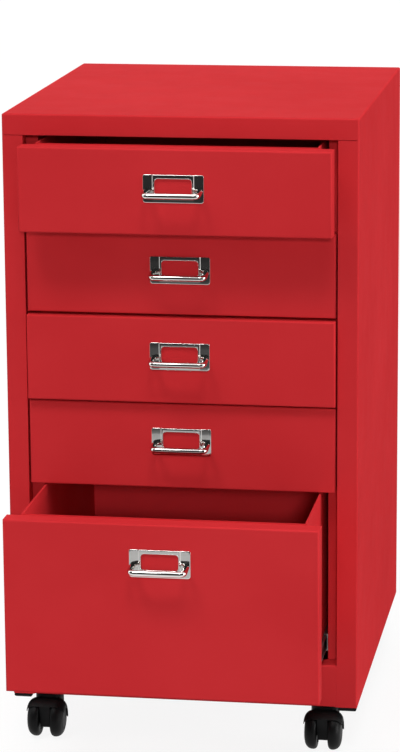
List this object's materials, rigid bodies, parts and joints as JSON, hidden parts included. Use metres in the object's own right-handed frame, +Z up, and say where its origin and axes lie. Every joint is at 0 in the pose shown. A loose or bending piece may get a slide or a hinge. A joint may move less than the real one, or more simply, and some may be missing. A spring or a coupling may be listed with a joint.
{
  "type": "rolling drawer cabinet",
  "caption": "Narrow folded-steel drawer cabinet on twin-wheel castors, with shallow drawers over a deep one, and label-frame pulls with a round bar.",
  "frame": {"origin": "on the floor under the middle of the case", "axes": "+Z up, -Y out of the drawer fronts, X across the front with +X to the right as seen from the front"},
  "size_m": [0.28, 0.4473, 0.5085],
  "materials": {
    "red_steel": "satin powder coat",
    "chrome": "polished",
    "black_plastic": "moulded satin",
    "zinc_steel": "zinc plated",
    "white_nylon": "moulded"
  },
  "bodies": {
    "case": {"case_wrap": "red_steel", "back_panel": "red_steel", "base_pan": "red_steel", "post_front_left": "red_steel", "post_front_right": "red_steel", "post_rear_left": "red_steel", "post_rear_right": "red_steel", "corner_feet": "black_plastic", "runners_left": "zinc_steel", "runners_right": "zinc_steel", "castor_sockets": "zinc_steel", "castor_stems": "zinc_steel"},
    "drawer_1": {"drawer_1_front": "red_steel", "drawer_1_tray": "red_steel", "drawer_1_rails": "zinc_steel", "drawer_1_glides": "white_nylon", "drawer_1_pull_plate": "chrome", "drawer_1_pull_bar": "chrome"},
    "drawer_2": {"drawer_2_front": "red_steel", "drawer_2_tray": "red_steel", "drawer_2_rails": "zinc_steel", "drawer_2_glides": "white_nylon", "drawer_2_pull_plate": "chrome", "drawer_2_pull_bar": "chrome"},
    "drawer_3": {"drawer_3_front": "red_steel", "drawer_3_tray": "red_steel", "drawer_3_rails": "zinc_steel", "drawer_3_glides": "white_nylon", "drawer_3_pull_plate": "chrome", "drawer_3_pull_bar": "chrome"},
    "drawer_4": {"drawer_4_front": "red_steel", "drawer_4_tray": "red_steel", "drawer_4_rails": "zinc_steel", "drawer_4_glides": "white_nylon", "drawer_4_pull_plate": "chrome", "drawer_4_pull_bar": "chrome"},
    "drawer_5": {"drawer_5_front": "red_steel", "drawer_5_tray": "red_steel", "drawer_5_rails": "zinc_steel", "drawer_5_glides": "white_nylon", "drawer_5_pull_plate": "chrome", "drawer_5_pull_bar": "chrome"},
    "castor_front_left": {"castor_front_left_housing": "black_plastic", "castor_front_left_axle": "zinc_steel"},
    "castor_front_left_wheel_left": {"castor_front_left_wheel_left": "black_plastic"},
    "castor_front_left_wheel_right": {"castor_front_left_wheel_right": "black_plastic"},
    "castor_front_right": {"castor_front_right_housing": "black_plastic", "castor_front_right_axle": "zinc_steel"},
    "castor_front_right_wheel_left": {"castor_front_right_wheel_left": "black_plastic"},
    "castor_front_right_wheel_right": {"castor_front_right_wheel_right": "black_plastic"},
    "castor_rear_left": {"castor_rear_left_housing": "black_plastic", "castor_rear_left_axle": "zinc_steel"},
    "castor_rear_left_wheel_left": {"castor_rear_left_wheel_left": "black_plastic"},
    "castor_rear_left_wheel_right": {"castor_rear_left_wheel_right": "black_plastic"},
    "castor_rear_right": {"castor_rear_right_housing": "black_plastic", "castor_rear_right_axle": "zinc_steel"},
    "castor_rear_right_wheel_left": {"castor_rear_right_wheel_left": "black_plastic"},
    "castor_rear_right_wheel_right": {"castor_rear_right_wheel_right": "black_plastic"}
  },
  "joints": [
    {"name": "drawer_1_slide", "type": "slide", "parent": "case", "child": "drawer_1", "axis": [0, -1, 0], "range_m": [-0.028, 0.1885]},
    {"name": "drawer_2_slide", "type": "slide", "parent": "case", "child": "drawer_2", "axis": [0, -1, 0], "range_m": [0, 0.2165]},
    {"name": "drawer_3_slide", "type": "slide", "parent": "case", "child": "drawer_3", "axis": [0, -1, 0], "range_m": [-0.005, 0.2115]},
    {"name": "drawer_4_slide", "type": "slide", "parent": "case", "child": "drawer_4", "axis": [0, -1, 0], "range_m": [0, 0.2165]},
    {"name": "drawer_5_slide", "type": "slide", "parent": "case", "child": "drawer_5", "axis": [0, -1, 0], "range_m": [-0.104, 0.1125]},
    {"name": "castor_front_left_swivel", "type": "hinge", "parent": "case", "child": "castor_front_left", "pos_m": [-0.113, -0.1475, 0.0152], "axis": [0, 0, 1], "continuous": true},
    {"name": "castor_front_left_wheel_left_spin", "type": "hinge", "parent": "castor_front_left", "child": "castor_front_left_wheel_left", "pos_m": [-0.113, -0.1605, 0.0152], "axis": [1, 0, 0], "continuous": true},
    {"name": "castor_front_left_wheel_right_spin", "type": "hinge", "parent": "castor_front_left", "child": "castor_front_left_wheel_right", "pos_m": [-0.113, -0.1605, 0.0152], "axis": [1, 0, 0], "continuous": true},
    {"name": "castor_front_right_swivel", "type": "hinge", "parent": "case", "child": "castor_front_right", "pos_m": [0.113, -0.1475, 0.0152], "axis": [0, 0, 1], "continuous": true},
    {"name": "castor_front_right_wheel_left_spin", "type": "hinge", "parent": "castor_front_right", "child": "castor_front_right_wheel_left", "pos_m": [0.113, -0.1605, 0.0152], "axis": [1, 0, 0], "continuous": true},
    {"name": "castor_front_right_wheel_right_spin", "type": "hinge", "parent": "castor_front_right", "child": "castor_front_right_wheel_right", "pos_m": [0.113, -0.1605, 0.0152], "axis": [1, 0, 0], "continuous": true},
    {"name": "castor_rear_left_swivel", "type": "hinge", "parent": "case", "child": "castor_rear_left", "pos_m": [-0.113, 0.1475, 0.0152], "axis": [0, 0, 1], "continuous": true},
    {"name": "castor_rear_left_wheel_left_spin", "type": "hinge", "parent": "castor_rear_left", "child": "castor_rear_left_wheel_left", "pos_m": [-0.113, 0.1345, 0.0152], "axis": [1, 0, 0], "continuous": true},
    {"name": "castor_rear_left_wheel_right_spin", "type": "hinge", "parent": "castor_rear_left", "child": "castor_rear_left_wheel_right", "pos_m": [-0.113, 0.1345, 0.0152], "axis": [1, 0, 0], "continuous": true},
    {"name": "castor_rear_right_swivel", "type": "hinge", "parent": "case", "child": "castor_rear_right", "pos_m": [0.113, 0.1475, 0.0152], "axis": [0, 0, 1], "continuous": true},
    {"name": "castor_rear_right_wheel_left_spin", "type": "hinge", "parent": "castor_rear_right", "child": "castor_rear_right_wheel_left", "pos_m": [0.113, 0.1345, 0.0152], "axis": [1, 0, 0], "continuous": true},
    {"name": "castor_rear_right_wheel_right_spin", "type": "hinge", "parent": "castor_rear_right", "child": "castor_rear_right_wheel_right", "pos_m": [0.113, 0.1345, 0.0152], "axis": [1, 0, 0], "continuous": true}
  ]
}
